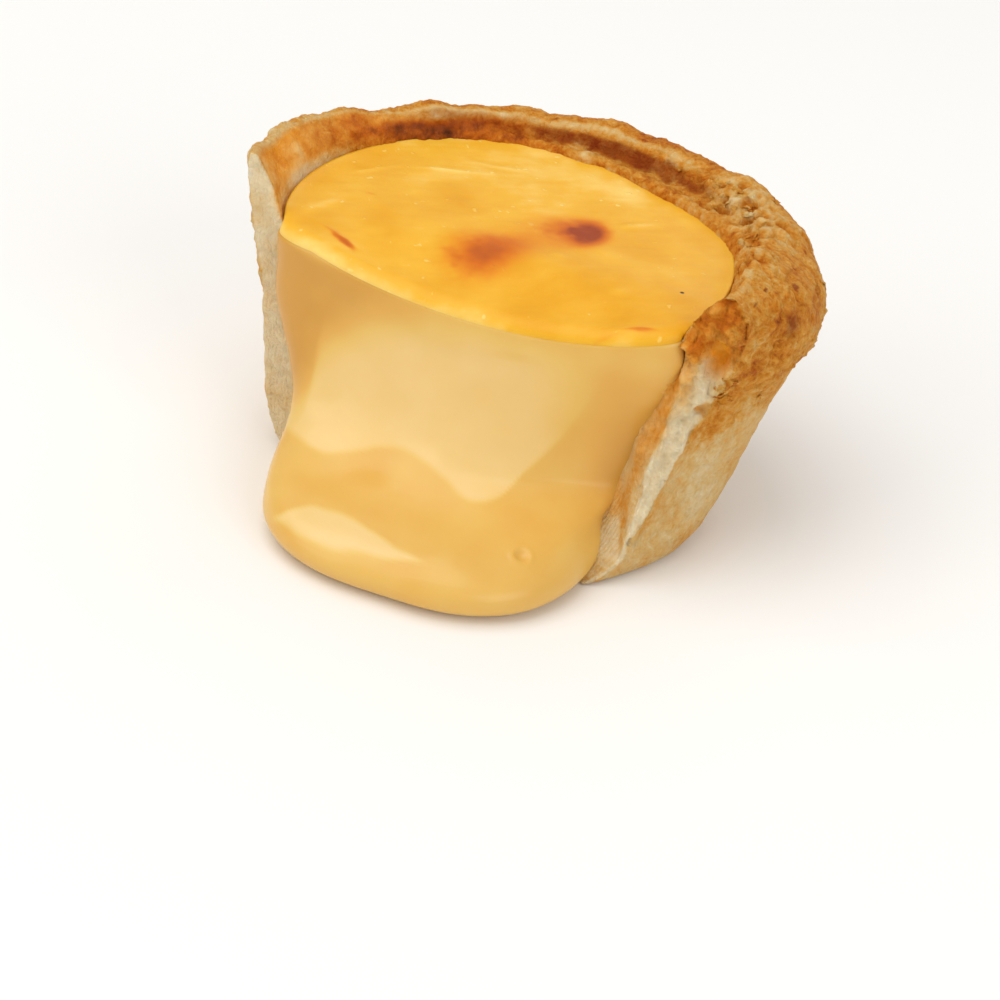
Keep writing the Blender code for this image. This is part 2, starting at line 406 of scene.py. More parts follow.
pastry = {
    # the wall inside, up to the custard's edge: radius and height in mm
    "inside": ((0.0, 3.5), (9.0, 3.5), (17.5, 3.7), (21.2, 5.6), (22.6, 9.5), (23.6, 16.5), (25.4, 25.5), (27.4, 32.0)),
    "plainLip": 28.4,
    "insideFollows": (0, 0, 0, 0, 0, 0, 0.3, 0.85),  # how far each of those points follows the lip inward
    # the rim by angle: lip, notch, crest and shoulder as radius and height, then the belly's radius
    "rim": {
        197: ((28.7, 35.0), (30.1, 37.2), (31.3, 39.4), (32.4, 38.0), 30.8),
        182: ((28.8, 34.7), (30.2, 36.4), (31.6, 37.9), (32.9, 37.0), 31.0),
        165: ((28.7, 34.5), (30.1, 35.8), (31.6, 36.9), (32.9, 36.2), 31.1),
        148: ((28.3, 34.4), (29.2, 35.3), (30.8, 36.1), (32.4, 35.4), 31.2),
        128: ((27.8, 34.1), (28.2, 34.9), (29.7, 35.8), (32.0, 35.2), 31.5),
        108: ((27.4, 33.7), (28.2, 33.3), (29.4, 35.5), (32.2, 35.2), 31.8),
        88: ((26.3, 33.6), (28.2, 33.2), (29.9, 35.7), (33.0, 35.2), 32.5),
        68: ((25.3, 33.6), (28.1, 33.1), (30.6, 35.8), (33.9, 35.1), 34.2),
        50: ((26.2, 33.7), (28.8, 33.6), (31.9, 35.7), (35.7, 34.9), 36.4),
        34: ((27.7, 34.0), (30.4, 34.8), (33.4, 36.3), (37.0, 34.8), 38.5),
        18: ((28.2, 34.3), (28.9, 35.8), (30.2, 37.4), (37.3, 34.5), 39.2),
        2: ((28.3, 34.5), (28.8, 36.2), (29.7, 38.1), (36.6, 34.6), 38.2),
        343: ((28.5, 34.4), (30.0, 36.6), (31.8, 37.8), (34.0, 35.4), 33.4),
        300: ((28.5, 34.4), (30.0, 36.6), (31.8, 37.8), (33.4, 36.0), 31.5),
        240: ((28.7, 35.0), (30.1, 37.4), (31.2, 39.8), (32.3, 38.2), 30.8)},
    "bellyHeight": 28.5,
    "bellyPlain": 31.2,
    # the wall outside, below the belly: radius, height and the share it takes of the belly's extra
    "outside": ((29.9, 23.0, 0.86), (29.2, 15.5, 0.66), (28.5, 9.0, 0.5), (27.6, 4.6, 0.42), (26.2, 1.4, 0.38),
                (23.8, 0.0, 0.34), (12.0, 0.0, 0.1), (0.0, 0.0, 0.0)),
    "steps": 5,
    "turnSteps": 320,
    "voxel": 0.33,
    # relief on the baked skin: size of lump and height, in mm
    "puffs": (7.0, 0.34),
    "blisters": (2.2, 0.17),
    "grain": (0.75, 0.13),
    "ledges": (1.6, 0.30),
    "layerPitch": 0.85,
    # the foot of the right cut leans forward: degrees at the table, height it fades at, arc it fades over, swell in mm
    "lean": (21.0, 12.0, 32.0, 2.6),
    "tear": (3.0, 1.25, 4.0),  # size of lump, depth and how far back it fades, in mm
    "keepShare": 0.64,  # of the faces, after the hidden ones are thinned
    # hollows in the right cut face: x and height of the middle, half sizes and depth, in mm
    "hollows": ((29.9, 30.0, 1.5, 2.9, 2.3), (29.3, 22.6, 0.8, 1.1, 1.2), (25.0, 5.4, 0.45, 0.9, 1.2),
                (25.1, 2.8, 0.45, 0.6, 1.1)),
    # thin torn sheets that stand up on the right cut face, each along x and height, with half width and height
    "sheets": ((((28.3, 29.0), (28.4, 26.5), (28.9, 24.4), (29.6, 23.0), (30.6, 21.6)), 0.85, 0.75),
               (((27.6, 22.6), (28.6, 21.9), (29.8, 21.6), (31.0, 20.8)), 0.42, 1.0),
               (((28.2, 21.5), (27.6, 17.5), (26.6, 13.0), (25.7, 8.5), (25.1, 4.0)), 0.45, 0.8)),
    # holes torn in the rim's inner slope: angle, radius, half length and half width, depth, in mm
    "holes": ((44, 28.9, 1.3, 0.7, 1.6), (38, 31.6, 0.8, 0.6, 1.4), (31, 32.3, 1.0, 0.7, 1.5),
              (27, 33.3, 0.8, 0.5, 1.3), (4, 28.5, 1.3, 0.8, 1.5), (3, 30.3, 0.7, 0.9, 1.4),
              (352, 29.4, 1.1, 0.7, 1.4), (49, 27.4, 1.8, 0.5, 1.0), (35, 30.0, 0.7, 0.5, 1.2), (20, 31.6, 0.6, 0.5, 1.0)),
    "dryColors": ((0.0, "F6E6C2"), (0.2, "E9C482"), (0.38, "E3A244"), (0.54, "D6841E"), (0.7, "BC6112"),
                  (0.86, "7C360E"), (1.0, "40200F")),
    "wetColors": ((0.0, "F2BE62"), (0.25, "EA9A20"), (0.55, "C46202"), (0.8, "8A4004"), (1.0, "5A2804")),
    # the dark of scorch marks and of the crevice, where it is partly painted shade
    "darkColor": "8E3602",
}


def cupSections():
    # one smooth section for each angle listed
    angles = sorted(pastry["rim"])
    sections = []
    for angle in angles:
        lip, notch, crest, shoulder, belly = pastry["rim"][angle]
        extra = belly - pastry["bellyPlain"]
        inward = lip[0] - pastry["plainLip"]
        wall = [(radius + inward * share, height)
                for (radius, height), share in zip(pastry["inside"], pastry["insideFollows"])]
        wall += [lip, notch, crest, shoulder, (belly, pastry["bellyHeight"])]
        wall += [(radius + share * extra, height) for radius, height, share in pastry["outside"]]
        sections.append(smoothThrough(wall, pastry["steps"]))
    return np.array(angles, float), np.array(sections)


def roundAngles(angle, keyAngles, values, soften=7.0):
    # a value given at a few angles, read smoothly at any angle
    dense = np.arange(720) / 2.0
    read = np.interp(dense, keyAngles, values, period=360)
    away = np.minimum(dense, 360 - dense)
    kernel = np.exp(-(away / soften) ** 2)
    read = np.real(np.fft.ifft(np.fft.fft(read) * np.fft.fft(kernel / kernel.sum())))
    return np.interp(angle, dense, read, period=360)


def rimRadius(angle, place):
    # radius of the lip, notch, crest or shoulder (0 to 3) at any angle
    angles = sorted(pastry["rim"])
    return roundAngles(angle, angles, [pastry["rim"][key][place][0] for key in angles])


def innerRadius(height):
    section = smoothThrough(pastry["inside"] + ((28.4, 34.6),), 8)
    return np.interp(height, section[8:, 1], section[8:, 0])


def spinCup():
    # a ring of points is opened into the wall's section, which is spun round the tart's axis
    keyAngles, sections = cupSections()
    count = sections.shape[1]
    bpy.ops.mesh.primitive_circle_add(vertices=count, radius=0.01, fill_type="NOTHING")
    cup = bpy.context.object
    for vert, (radius, height) in zip(cup.data.vertices, sections[0]):
        vert.co = (axisX + max(radius, 0.0) * mm, axisY, height * mm)
    along = cup.data.attributes.new("along", "FLOAT", "POINT")
    along.data.foreach_set("value", np.arange(count, dtype=np.float32))
    editMode(cup)
    bpy.ops.mesh.select_mode(type="EDGE")
    bpy.ops.mesh.select_all(action="DESELECT")
    objectMode()
    for edge in cup.data.edges:
        edge.select = set(edge.vertices) == {0, count - 1}
    editMode(cup)
    bpy.ops.mesh.delete(type="EDGE")
    bpy.ops.mesh.select_mode(type="VERT")
    bpy.ops.mesh.select_all(action="SELECT")
    bpy.ops.mesh.spin(steps=pastry["turnSteps"], angle=math.tau, center=(axisX, axisY, 0.0), axis=(0, 0, 1))
    bpy.ops.mesh.select_all(action="SELECT")
    bpy.ops.mesh.remove_doubles(threshold=0.00001)
    bpy.ops.mesh.normals_make_consistent(inside=False)
    objectMode()
    return cup


def shapeCup(cup):
    # each spun point moves to its own angle's section, with a slow waviness round the rim
    keyAngles, sections = cupSections()
    angle, radius, height = around(readPoints(cup))
    along = np.zeros(len(angle), np.float32)
    cup.data.attributes["along"].data.foreach_get("value", along)
    newRadius, newHeight = np.zeros(len(angle)), np.zeros(len(angle))
    for index in range(sections.shape[1]):
        here = np.abs(along - index) < 0.5
        newRadius[here] = roundAngles(angle[here], keyAngles, sections[:, index, 0])
        newHeight[here] = roundAngles(angle[here], keyAngles, sections[:, index, 1])
    turn = np.radians(angle)
    onRim = smooth(newHeight, 33.0, 36.0)
    outside = smooth(along, sections.shape[1] * 0.55, sections.shape[1] * 0.62) * smooth(newRadius, 18, 25)
    newHeight += onRim * (0.28 * np.sin(9 * turn + 1.1) + 0.2 * np.sin(17 * turn + 0.2) + 0.12 * np.sin(31 * turn))
    newRadius += outside * (0.3 * np.sin(7 * turn + 0.6) + 0.2 * np.sin(13 * turn + 2.1))
    writePoints(cup, fromAround(angle, newRadius * mm, np.maximum(newHeight, 0.0) * mm))


def cutCup(cup):
    # sliced flat, and the slice closed
    editMode(cup)
    bpy.ops.mesh.select_all(action="SELECT")
    bpy.ops.mesh.bisect(plane_co=(0, cutY, 0), plane_no=(0, -1, 0), use_fill=True, clear_outer=True)
    bpy.ops.mesh.select_all(action="DESELECT")
    objectMode()


def tearEnds(cup):
    # the wall's ends are torn rather than cut, most of all high up on the right
    points = readPoints(cup)
    behind = (points[:, 1] - cutY) / mm
    flat = points * np.array([1, 0, 1])
    rightShare = smooth(points[:, 0] - axisX, -2 * mm, 2 * mm)
    amount = pastry["tear"][1] * (0.12 + 0.88 * rightShare * smooth(points[:, 2] / mm, 12, 30))
    near = 1 - smooth(behind, 0.0, pastry["tear"][2])
    points[:, 1] += near * (crumbs(flat, pastry["tear"][0] * mm, 81, 3) + 0.2 * rightShare) * amount * mm
    writePoints(cup, points)


def leanFoot(cup):
    # the foot of the wall at the right end runs on round the axis, so the cut leans there
    turnBy, fadeHeight, fadeArc, swell = pastry["lean"]
    angle, radius, height = around(readPoints(cup))
    away = turnAway(angle, 340.0)
    low = np.clip(1 - height / mm / fadeHeight, 0, 1) ** 1.4
    near = (1 - smooth(away, 0, fadeArc)) * (np.abs(away) < 60) * smooth(radius / mm, 8, 18)
    writePoints(cup, fromAround(angle - turnBy * low * near, radius + swell * low * near * mm, height))


def thinHidden(cup):
    # fewer faces under the custard and below the tart, where nothing shows
    points, normals = readPoints(cup), readNormals(cup)
    angle, radius, height = around(points)
    inside = (radius < (innerRadius(height / mm) + 0.9) * mm) & (height < 31.0 * mm) & (height > 2.0 * mm)
    under = (height < 0.3 * mm) & (normals[:, 2] < -0.8)
    hidden = (inside | under) & (points[:, 1] > cutY + 1.2 * mm)
    group = cup.vertex_groups.new(name="hidden")
    group.add([int(i) for i in np.flatnonzero(hidden)], 1.0, "REPLACE")
    addModifier(cup, "DECIMATE", ratio=pastry["keepShare"], vertex_group="hidden")
    applyModifiers(cup)


def farFrom(x, height, line):
    # distance in mm from a smooth line drawn on the cut face
    curve = smoothThrough(line, 6)
    return np.hypot(x[:, None] - curve[:, 0], height[:, None] - curve[:, 1]).min(axis=1)


def crustZones(points, normals):
    # where each point of the crust lies: shares of cut face, outer skin and inner slope, and of each side
    angle, radius, height = around(points)
    radius, height = radius / mm, height / mm
    x, behind = (points[:, 0] - axisX) / mm, (points[:, 1] - cutY) / mm
    cut = smooth(-normals[:, 1], 0.5, 0.85) * (1 - smooth(behind, 0.5, 1.2))
    past = radius - rimRadius(angle, 2)
    lowWall = smooth(radius - innerRadius(height), 1.5, 3.0) * (1 - smooth(height, 31.0, 33.0))
    return {
        "angle": angle, "radius": radius, "height": height, "x": x, "past": past, "behind": behind,
        "cutRight": cut * smooth(x, -2, 2), "cutLeft": cut * (1 - smooth(x, -2, 2)),
        "outer": np.maximum(smooth(past, -0.3, 0.8), lowWall) * (1 - cut),
        "inner": (1 - smooth(past, -0.8, 0.3)) * smooth(height, 31.0, 32.5) * (1 - cut),
        "rightSide": arcHump(angle, 20, 60, 60), "backSide": arcHump(angle, 95, 75, 62),
        "leftSide": arcHump(angle, 185, 50, 40), "high": smooth(height, 14, 25),
    }


def roughenCrust(cup):
    # puffs, blisters, ledges of layers, holes and the torn cut, moved along the normals
    points, normals = readPoints(cup), readNormals(cup)
    zone = crustZones(points, normals)
    angle, radius, height = zone["angle"], zone["radius"], zone["height"]
    high, rightSide, x = zone["high"], zone["rightSide"], zone["x"]
    puff, blister, grain = (crumbs(points, pastry[kind][0] * mm, seed, layers)
                            for kind, seed, layers in (("puffs", 1, 2), ("blisters", 3, 3), ("grain", 6, 2)))
    pitch, ledgeHeight = pastry["ledges"]
    layer = (height + radius * 0.35 + lumps(points, 5 * mm, 9) * 1.5 + lumps(points, 1.8 * mm, 10) * 0.6) / pitch
    ledge = (layer - np.floor(layer)) ** 1.6 * smooth(lumps(points, 5 * mm, 14), -0.35, 0.3)
    outerMove = puff * pastry["puffs"][1] * (0.35 + 0.65 * high)
    outerMove += blister * pastry["blisters"][1] * (0.25 + high * (0.45 + 0.5 * rightSide))
    outerMove += grain * pastry["grain"][1] * (0.3 + 0.7 * high)
    outerMove += (1 - high) * 0.10 * crumbs(points * np.array([1, 1, 2.2]), 3.2 * mm, 18, 3)
    outerMove += ledge * ledgeHeight * high * (0.4 + 0.6 * rightSide)
    onRim = smooth(height, 31.0, 33.0)
    crumbly = onRim * smooth(zone["past"], -4.5, -2.0) * (1 - smooth(zone["past"], 1.0, 4.0)) * arcHump(angle, 24, 46, 50)
    crumbLump = crumbs(points, 1.3 * mm, 17, 3)
    outerMove += crumbly * crumbLump * 0.42
    pitted = arcHump(angle, 40, 40, 38) * smooth(radius, 28.6, 29.6) * (1 - smooth(zone["past"], -0.4, 1.2))
    pits = smooth(crumbs(points, 1.5 * mm, 20, 2), 0.1, 0.55) * pitted * onRim
    for holeAngle, holeRadius, halfLong, halfWide, depth in pastry["holes"]:
        alongRim = np.radians(turnAway(angle, holeAngle)) * holeRadius
        ragged = 1 + 0.35 * lumps(points, 0.8 * mm, 25)
        inHole = np.exp(-((alongRim / halfLong) ** 2 + ((radius - holeRadius) / halfWide) ** 2) ** 2 * ragged)
        pits = np.maximum(pits, inHole * depth / 1.3 * smooth(height, 31, 32))
    innerMove = blister * 0.14 * (1 - zone["leftSide"] * 0.6) + grain * 0.12 * (1 - zone["leftSide"])
    innerMove += lumps(points, 3 * mm, 22) * 0.2 + crumbly * crumbLump * 0.42
    hollow = np.zeros(len(points))
    for middle, level0, halfWide, halfHigh, depth in pastry["hollows"]:
        inside = np.exp(-(((x - middle) / halfWide) ** 2 + ((height - level0) / halfHigh) ** 2) ** 1.5)
        hollow = np.maximum(hollow, inside * zone["cutRight"])
    layerLine = np.sin((radius + lumps(points, 4 * mm, 31) * 0.9 + height * 0.12) * math.tau / pastry["layerPitch"])
    layerLine *= (1 - hollow) * (1 - smooth(height, 29, 33))
    torn = crumbs(points, 1.7 * mm, 33, 3)
    upper = smooth(height, 9, 17)
    cutMove = zone["cutRight"] * (torn * 0.5 * upper * (1 - hollow * 0.6) + layerLine * (0.03 + 0.12 * upper)
                                  + lumps(points, 5 * mm, 35) * 0.5 * upper)
    sheet = np.zeros(len(points))
    for line, halfWide, tall in pastry["sheets"]:
        away = farFrom(x + 0.35 * torn, height + 0.5 * lumps(points, 1.3 * mm, 37), line)
        sheet = np.maximum(sheet, np.exp(-(away / halfWide) ** 2) * tall)
    sheet *= zone["cutRight"] * (0.75 + 0.5 * lumps(points, 2.2 * mm, 38))
    cutMove += sheet + zone["cutRight"] * smooth(height, 27, 31) * (crumbLump * 0.6 + 0.4 * crumbs(points, 0.8 * mm, 19, 2))
    cutMove += zone["cutLeft"] * (lumps(points, 5 * mm, 36) * 0.25 + torn * 0.05)
    for middle, level0, halfWide, halfHigh, depth in pastry["hollows"]:
        inside = np.exp(-(((x - middle) / halfWide) ** 2 + ((height - level0) / halfHigh) ** 2) ** 1.5)
        cutMove -= zone["cutRight"] * inside * (depth + torn * 0.3)
    move = zone["outer"] * outerMove + zone["inner"] * innerMove + cutMove - pits * 1.3
    low = height < 4
    move[low] *= ((1 - smooth(-normals[:, 2], 0.6, 0.9)) * (1 - smooth(3.0 - height, 0.0, 3.0) * 0.6))[low]
    moved = points + normals * (move * mm)[:, None]
    moved[:, 2] = np.maximum(moved[:, 2], 0.0)
    writePoints(cup, moved)
    relief = np.clip(0.5 + 0.35 * blister + 0.25 * grain + 0.3 * (ledge - 0.5), 0, 1)
    return zone, {"relief": relief, "pits": np.clip(pits, 0, 1), "hollow": hollow, "sheet": sheet, "crumbly": crumbly, "crumbLump": crumbLump}


def paintCrust(cup, zone, marks):
    # how toasted, how soaked with custard and how dark each point is; the dark share holds scorch marks and, in the
    # crevice and under the lip, over-baked colour with painted shade
    points = readPoints(cup)
    angle, radius, height = zone["angle"], zone["radius"], zone["height"]
    outer, inner, high = zone["outer"], zone["inner"], zone["high"]
    cutRight, cutLeft = zone["cutRight"], zone["cutLeft"]
    patch, fine = crumbs(points, 6 * mm, 41, 3), crumbs(points, 1.5 * mm, 44, 3)
    streaks = crumbs(points * np.array([1, 1, 0.3]), 1.6 * mm, 48, 2)
    golden = smooth(height + 2.2 * lumps(points, 5 * mm, 50) + 1.2 * streaks, 13.5, 23)
    backTop = zone["backSide"] * smooth(height, 30, 36)
    toast = outer * (0.25 + 0.24 * golden + 0.05 * backTop + 0.07 * patch + 0.05 * fine * golden + 0.05 * streaks)
    toast += outer * golden * 0.07 * arcHump(angle, 2, 22, 14) * hump(height, 33.5, 5)
    toast += outer * golden * (0.5 - marks["relief"]) * 0.22
    toast -= outer * golden * (0.26 * zone["leftSide"] + 0.09 * zone["rightSide"])
    backLip = arcHump(angle, 108, 52, 44) * smooth(zone["past"], -1.2, -0.2) * (1 - smooth(zone["past"], 2.2, 3.6))
    toast -= backLip * smooth(height, 34.2, 35.2) * (0.05 + 0.10 * patch + 0.10 * fine)
    toast -= marks["crumbly"] * arcHump(angle, 48, 34, 34) * (0.18 + 0.24 * marks["crumbLump"])
    toast += marks["crumbly"] * arcHump(angle, 0, 30, 26) * (0.02 - 0.18 * marks["crumbLump"])
    toast += inner * (0.47 + 0.10 * fine + 0.06 * patch + (0.5 - marks["relief"]) * 0.22)
    belowLip = 1 - smooth(height, 34.4, 35.4)
    toast += inner * (0.33 * arcHump(angle, 136, 40, 30) * belowLip - 0.26 * arcHump(angle, 180, 26, 40))
    leftLip = arcHump(angle, 132, 26, 26) * (1 - belowLip)
    toast -= inner * (0.08 * backTop * (1 - belowLip) + 0.20 * leftLip)
    upperCut = smooth(height + 0.8 * patch, 29.0, 31.5)
    wallFrom = radius - innerRadius(height)
    besideCustard = 1 - smooth(wallFrom + 0.6 * patch, 3.0, 5.4)
    toast += cutRight * (0.05 + upperCut * (0.40 - 0.18 * marks["crumbLump"]) + 0.07 * fine * smooth(height, 12, 20))
    toast += cutRight * 0.21 * besideCustard * smooth(height + 1.5 * patch, 5, 10) * (1 - upperCut)
    shreds = smooth(zone["x"] - 29.6 - 0.9 * streaks - 0.6 * fine, 0, 1.2) * smooth(height, 19, 22) * (1 - upperCut)
    toast += cutRight * 0.24 * shreds
    toast += cutLeft * (0.08 + 0.03 * fine + 0.05 * patch)
    toast += (1 - outer) * (1 - inner) * (1 - cutRight - cutLeft) * 0.2
    # the crevice under the crest: dark red-brown, partly the over-baked underside of the upper layer and partly painted
    # shade in the groove
    fromNotch = radius - rimRadius(angle, 1) - 0.75 + 0.5 * fine
    crevice = arcHump(angle, 80, 44, 50) * np.exp(-(fromNotch / 0.85) ** 2) * (1.5 + 0.5 * patch)
    crevice = np.clip(crevice * smooth(35.2 - height, -0.1, 0.8), 0, 0.82 + 0.15 * streaks)
    # under the overhanging lip at the back: the crevice's dark, partly over-baked and partly painted shade
    overhang = arcHump(angle, 122, 32, 30) * smooth(height, 33.8, 34.8) * (1 - smooth(radius, 29.0, 30.0)) * 0.5
    scorched = smooth(crumbs(points, 1.2 * mm, 57, 2), 0.95, 1.15) * smooth(height, 30, 34) * 0.8
    dent = np.exp(-((turnAway(angle, -4) / 1.6) ** 2) - ((height - 33) / 1.4) ** 2) * smooth(radius, 34, 36) * 0.9
    dark = np.maximum(inner * np.maximum(crevice, overhang), outer * np.maximum(scorched, dent))
    soaked = inner * zone["leftSide"] * (0.85 + 0.3 * patch)
    soaked = np.maximum(soaked, inner * arcHump(angle, 138, 52, 50))
    soaked = np.maximum(soaked, marks["hollow"] * 1.2 * smooth(height, 8, 12))
    inHollow = marks["hollow"] * smooth(height, 8, 12)
    toast += inHollow * (0.25 + 0.08 * fine - toast)
    toast += 0.22 * marks["pits"]
    paleSheet = np.clip(marks["sheet"] * 1.1, 0, 1)
    toast *= 1 - 0.7 * paleSheet
    soaked = np.maximum(soaked, marks["pits"] * 0.6)
    soaked *= 1 - 0.75 * leftLip
    nearCustard = inner * (1 - smooth(height, 33.3, 34.4)) * arcHump(angle, 170, 70, 36)
    soaked *= 1 - 0.75 * nearCustard
    toast -= 0.12 * nearCustard
    soaked = np.maximum(soaked, cutRight * 0.6 * besideCustard * smooth(height, 5, 10))
    soaked *= 1 - paleSheet
    soaked = np.maximum(soaked, cutLeft * 0.8 * np.exp(-((wallFrom - 0.2) / 0.5) ** 2) * smooth(height, 31, 33))
    paintPoints(cup, "toast", toast)
    paintPoints(cup, "dark", dark)
    paintPoints(cup, "soaked", soaked)
    layered = cutRight * (1 - marks["hollow"]) * (1 - smooth(height, 8, 20) * 0.7) * (1 - upperCut)
    paintPoints(cup, "cutShare", layered + cutLeft * 0.25)
    paintPoints(cup, "outward", radius / 50)


def makeCrust():
    cup = spinCup()
    shapeCup(cup)
    cutCup(cup)
    leanFoot(cup)
    addModifier(cup, "REMESH", mode="VOXEL", voxel_size=pastry["voxel"] * mm)
    applyModifiers(cup)
    thinHidden(cup)
    zone, marks = roughenCrust(cup)
    tearEnds(cup)
    paintCrust(cup, zone, marks)
    settle(cup, "bakedCrust")
    print("crust:", len(cup.data.polygons), "faces")
    return cup, zone


def pastryGrain(finish, where):
    # fine crumb, flecks and slow blotches
    return (finish.noise(where, 1900.0, detail=5.0, rough=0.65),
            finish.noise(where, 700.0, detail=6.0, rough=0.7, warp=0.8),
            finish.noise(where, 150.0, detail=3.0))


def pastryColor(finish, toast, dark, soaked, fleck, grain, blotch):
    mottled = ((fleck - 0.5) * 0.80 + (grain - 0.5) * 0.60) * (1 - soaked * 0.75)
    browned = (toast + mottled * (toast * 1.9 + 0.08).least(1.0) + (blotch - 0.5) * 0.08).held()
    color = finish.blend(soaked, finish.ramp(browned, pastry["dryColors"]), finish.ramp(browned, pastry["wetColors"]))
    return finish.blend((dark * (0.7 + fleck * 0.6)).held(), color, tint(pastry["darkColor"]))


def crustFinish():
    finish = Finish("bakedPastry")
    where = finish.place()
    toast, dark, soaked, cut, outward = (finish.painted(name)
                                         for name in ("toast", "dark", "soaked", "cutShare", "outward"))
    grain, fleck, blotch = pastryGrain(finish, where)
    layers = ((outward * 50.0 * 2.1 + blotch * 5.0) * math.tau).sine() * cut
    color = pastryColor(finish, toast - layers * 0.03, dark, soaked, fleck, grain, blotch)
    height = (fleck + grain * 0.7) * (1 - soaked * 0.7) + layers * 0.10
    normal = finish.bump(height, 1.0, 0.0007)
    return finish.shade({"Subsurface Weight": 0.1, "Subsurface Radius": (1.0, 0.45, 0.18),
                         "Subsurface Scale": 0.0012, "Specular IOR Level": 0.15},
                        {"Base Color": color, "Normal": normal, "Roughness": 0.62 - soaked * 0.38})


flakes = {
    "kinds": 6,
    "thickness": 0.07,
    "zones": {
        # how many, angles, heights and how far past the crest, length in mm, lift in degrees, paler by
        "rightWall": (30, (-8, 80), (22, 36), (1.6, 12), (0.6, 1.7), (1, 4), (-0.10, 0.0)),
        "backWall": (40, (80, 200), (19, 33), (1.4, 12), (0.7, 2.2), (1, 4), (-0.12, -0.02)),
        "innerSlope": (50, (8, 66), (33.6, 38), (-3.4, -0.4), (0.5, 1.2), (3, 10), (-0.06, 0.04)),
        "lowerWall": (14, (30, 200), (4, 17), (-3, 12), (1.0, 2.6), (0.5, 2), (-0.10, -0.02)),
    },
    # torn layers on the right cut face: how many, x and height ranges, length, lift, paler by
    "tornZones": (
        (12, (30.9, 32.3), (23, 30), (0.9, 1.8), (3, 10), (-0.18, -0.06)),
    ),
}


def modelFlake(kind):
    # a thin torn leaf one unit long, curled, with a ragged edge
    bpy.ops.object.select_all(action="DESELECT")
    bpy.ops.mesh.primitive_grid_add(x_subdivisions=9, y_subdivisions=6, size=1.0, location=(0, 0, 0))
    leaf = bpy.context.object
    points = readPoints(leaf)
    a, b = points[:, 0] * 2, points[:, 1] * 2
    u, v = a * np.sqrt(1 - b * b / 2), b * np.sqrt(1 - a * a / 2)
    far = np.hypot(u, v)
    toward = np.arctan2(v, u)
    ragged = 1 + 0.12 * np.sin(toward * 3 + kind * 1.7) + 0.09 * np.sin(toward * 7 + kind * 2.9) * far
    x, y = u * 0.5 * ragged, v * 0.3 * ragged
    z = 0.22 * x * x * (1 + kind % 3) - 0.35 * y * y + 0.05 * np.sin(9 * x + kind) + 0.04 * np.sin(11 * y + 2 * kind)
    writePoints(leaf, np.stack([x, y, z - z.mean()], axis=1))
    leaf.name = "leafKind%d" % kind
    return leaf


def layFlakes(crust, zone):
    # leaves copied on to the crust, each with its own mesh, laid along the surface and lifted at one edge
    points, normals = readPoints(crust), readNormals(crust)
    ground = {name: readPainted(crust, name) for name in ("toast", "soaked", "dark")}
    draw = np.random.default_rng(7)
    kinds = [modelFlake(kind) for kind in range(flakes["kinds"])]
    spots = []
    for count, angles, heights, pasts, sizes, lifts, paler in flakes["zones"].values():
        away = turnAway(zone["angle"], sum(angles) / 2)
        fits = (np.abs(away) < (angles[1] - angles[0]) / 2) & (zone["height"] > heights[0]) \
            & (zone["height"] < heights[1]) & (zone["past"] > pasts[0]) & (zone["past"] < pasts[1]) \
            & (zone["behind"] > 0.8) & (ground["dark"] < 0.4)
        spots += [(i, sizes, lifts, paler) for i in draw.choice(np.flatnonzero(fits), count)]
    for count, xs, heights, sizes, lifts, paler in flakes["tornZones"]:
        fits = (zone["x"] > xs[0]) & (zone["x"] < xs[1]) & (zone["height"] > heights[0]) \
            & (zone["height"] < heights[1]) & (zone["behind"] < 2.5) & (normals[:, 1] < -0.3)
        spots += [(i, sizes, lifts, paler) for i in draw.choice(np.flatnonzero(fits), count)]
    copies = []
    for number, (i, sizes, lifts, paler) in enumerate(spots):
        leaf = kinds[number % len(kinds)].copy()
        leaf.data = leaf.data.copy()
        bpy.context.scene.collection.objects.link(leaf)
        size = draw.uniform(*sizes) * mm
        normal = Vector(normals[i])
        sideways = normal.cross(Vector((0, 0, 1)))
        sideways = sideways.normalized() if sideways.length > 0.2 else Vector((1, 0, 0))
        upward = normal.cross(sideways) * -1
        turn = Matrix((sideways, upward, sideways.cross(upward))).transposed()
        spin = Matrix.Rotation(draw.normal(0, 0.6), 3, "Z")
        lift = Matrix.Rotation(math.radians(draw.uniform(*lifts)) * draw.choice((-1, 1)), 3, "X")
        shape = np.array(turn @ spin @ lift)
        local = readPoints(leaf) * size
        writePoints(leaf, local @ shape.T + points[i] + normals[i] * 0.03 * mm)
        paintPoints(leaf, "toast", np.full(len(local), ground["toast"][i] - draw.uniform(*paler)))
        paintPoints(leaf, "soaked", np.full(len(local), ground["soaked"][i] * 0.8))
        paintPoints(leaf, "dark", np.full(len(local), ground["dark"][i] * 0.5))
        copies.append(leaf)
    for kind in kinds:
        bpy.data.objects.remove(kind)
    bpy.ops.object.select_all(action="DESELECT")
    for leaf in copies:
        leaf.select_set(True)
    bpy.context.view_layer.objects.active = copies[0]
    bpy.ops.object.join()
    leaves = bpy.context.object
    addModifier(leaves, "SOLIDIFY", thickness=flakes["thickness"] * mm, offset=0.0)
    applyModifiers(leaves)
    settled = readPoints(leaves)
    settled[:, 2] = np.maximum(settled[:, 2], 0.05 * mm)
    writePoints(leaves, settled)
    settle(leaves, "pastryFlakes")
    print("flakes:", len(copies), "leaves,", len(leaves.data.polygons), "faces")
    return leaves


